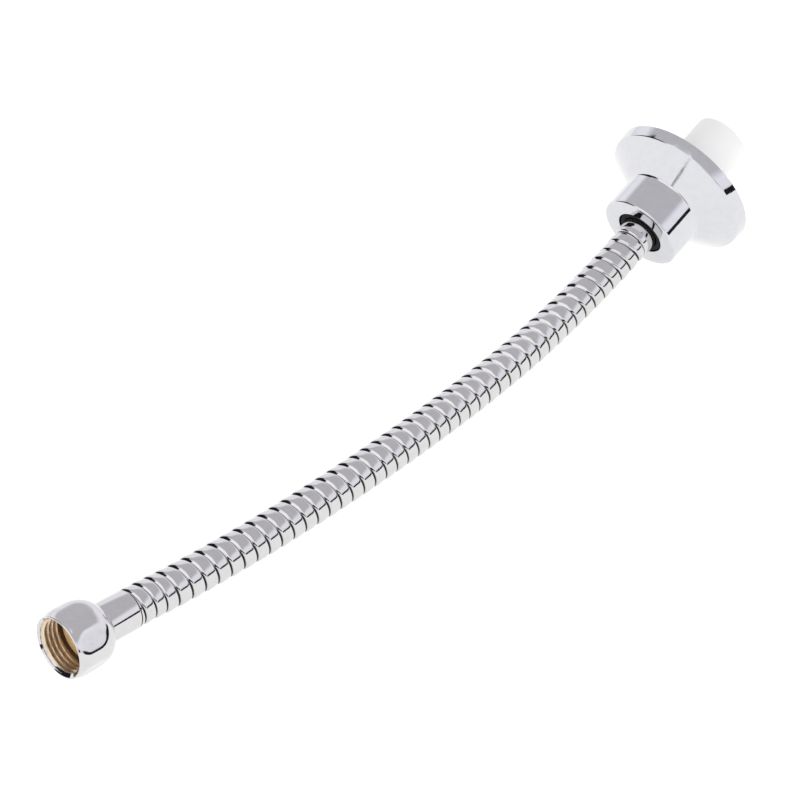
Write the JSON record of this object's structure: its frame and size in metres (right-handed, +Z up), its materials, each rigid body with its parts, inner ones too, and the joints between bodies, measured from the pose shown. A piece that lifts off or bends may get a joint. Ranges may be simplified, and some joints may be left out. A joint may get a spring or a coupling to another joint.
{
  "type": "flexible tap connector",
  "caption": "Metal-armoured flexible hose with a hexagonal swivel nut at one end and, at the other, a capped male pipe end that passes through a conical wall escutcheon.",
  "frame": {"origin": "on the surface that the connector lies on, under the middle of the box round its two ends", "axes": "+X from the nut end towards the wall end, along the level direction of the wall end's axis; +Z up"},
  "size_m": [0.3646, 0.0606, 0.0582],
  "materials": {
    "nut_chrome": "polished chrome plate",
    "sleeve_chrome": "polished chrome plate",
    "armour_chrome": "bright chrome-plated interlocked strip",
    "plate_chrome": "mirror chrome plate",
    "brass": "turned bare brass",
    "fitting_brass": "turned brass, lightly plated",
    "liner_rubber": "matt black rubber tube",
    "grommet_rubber": "matt black rubber",
    "cap_plastic": "smooth white polyethylene"
  },
  "bodies": {
    "hose": {"nut_tail": "brass", "nut_sleeve": "sleeve_chrome", "armour_hose": "armour_chrome", "inner_hose": "liner_rubber", "wall_sleeve": "sleeve_chrome", "wall_fitting": "fitting_brass"},
    "nut": {"swivel_nut": "nut_chrome"},
    "grommet": {"neck_grommet": "grommet_rubber"},
    "plate": {"escutcheon": "plate_chrome"},
    "cap": {"thread_cap": "cap_plastic"}
  },
  "joints": [
    {"name": "nut_swivel", "type": "hinge", "parent": "hose", "child": "nut", "pos_m": [-0.18116, 0.0057, 0.01266], "axis": [0.9948, -0.0739, -0.0698], "continuous": true},
    {"name": "plate_slide", "type": "slide", "parent": "hose", "child": "grommet", "axis": [0.9455, 0, 0.3256], "range_m": [-0.011, 0.005]},
    {"name": "plate_turn", "type": "hinge", "parent": "grommet", "child": "plate", "pos_m": [0.12654, 0, 0.02016], "axis": [0.9455, 0, 0.3256], "continuous": true},
    {"name": "cap_pull", "type": "slide", "parent": "hose", "child": "cap", "axis": [0.9455, 0, 0.3256], "range_m": [0, 0.03]}
  ]
}
